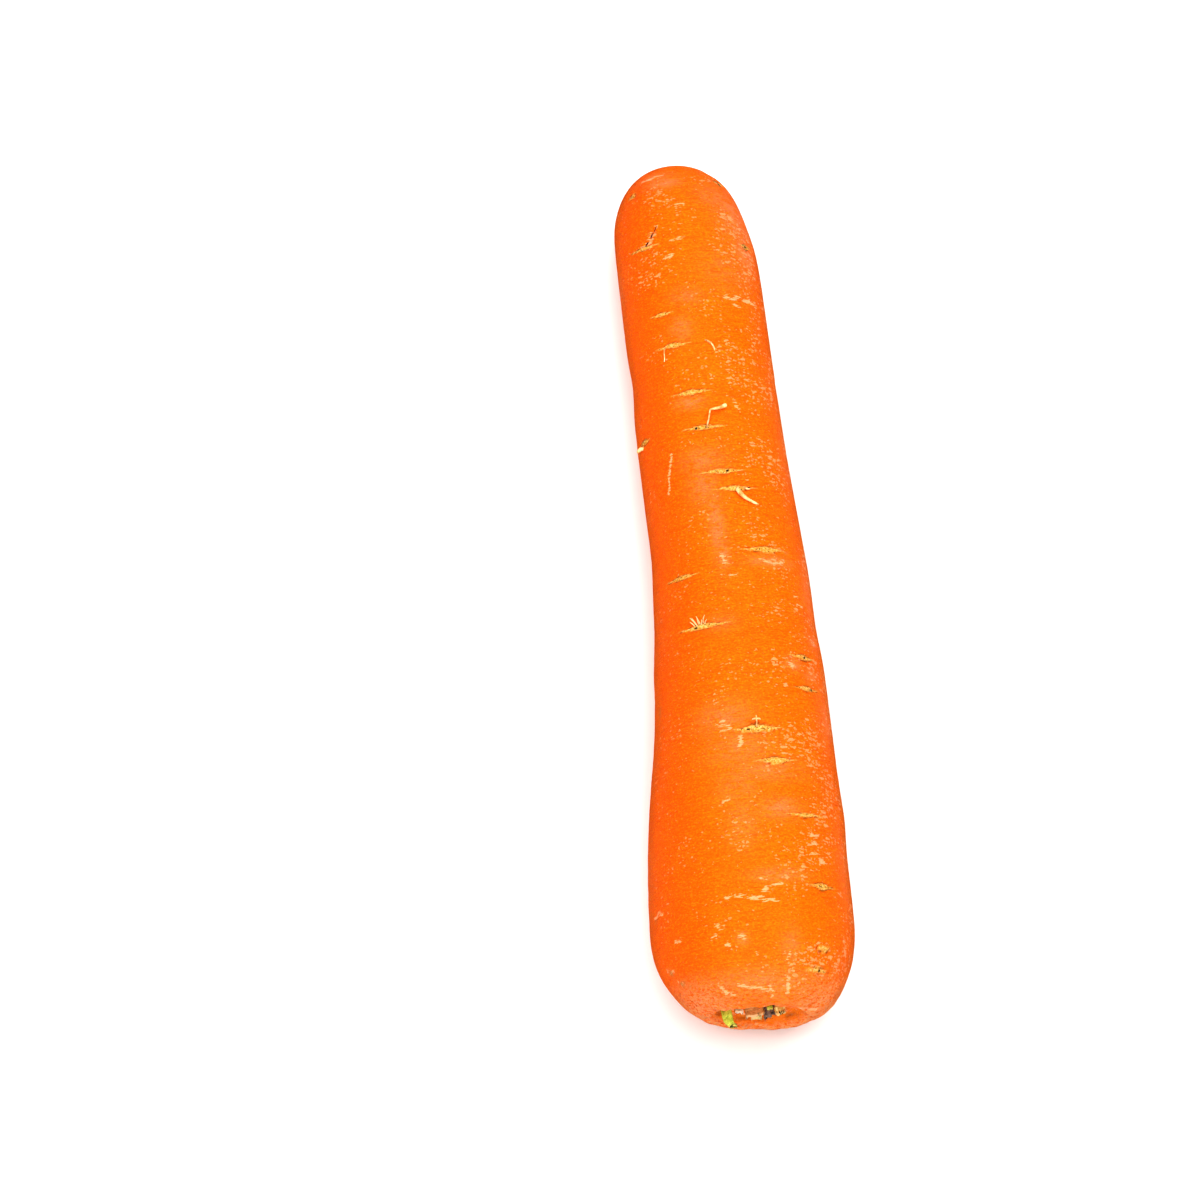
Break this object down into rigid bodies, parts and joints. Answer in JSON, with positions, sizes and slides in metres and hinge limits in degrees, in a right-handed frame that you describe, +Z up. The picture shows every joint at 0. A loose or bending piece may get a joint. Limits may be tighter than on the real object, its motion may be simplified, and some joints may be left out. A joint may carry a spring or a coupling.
{
  "type": "carrot",
  "caption": "Topped orange carrot lying on its side, with a blunt tip, crossways root scars, dried side roots and broken leaf stalks in its crown; a vegetable to cook or eat raw",
  "frame": {"origin": "the middle of the whole carrot's underside, at the height of the surface that it lies on", "axes": "+Y runs along the root from the crown, where the leaves grew, to the tip; +Z is up; +X is to the right when looking from the crown to the tip"},
  "size_m": [0.0418, 0.1934, 0.0417],
  "materials": {
    "root_skin": "smooth moist orange carrot skin with fine crossways wrinkles, tan scars and paler dry patches",
    "dried_side_root": "dull straw-coloured dried root fibre",
    "green_stalk": "satin yellow-green broken leaf stalk with fine ribs",
    "pale_stalk": "satin pale yellow-green broken leaf stalk",
    "dried_leaf": "matt tan papery dried leaf base",
    "withered_leaf": "matt grey-brown withered leaf base"
  },
  "bodies": {
    "root": {"taproot": "root_skin", "hooked_side_root": "dried_side_root", "curled_side_root": "dried_side_root", "hanging_side_root": "dried_side_root", "arched_side_root": "dried_side_root", "short_side_root": "dried_side_root", "edge_side_root": "dried_side_root", "left_root_hair": "dried_side_root", "middle_root_hair": "dried_side_root", "right_root_hair": "dried_side_root", "green_leaf_stalk": "green_stalk", "small_green_leaf_stalk": "green_stalk", "pale_leaf_stalk": "pale_stalk", "side_leaf_stalk": "pale_stalk", "dried_leaf_base": "dried_leaf", "papery_scale": "dried_leaf", "withered_leaf": "withered_leaf"}
  },
  "joints": []
}
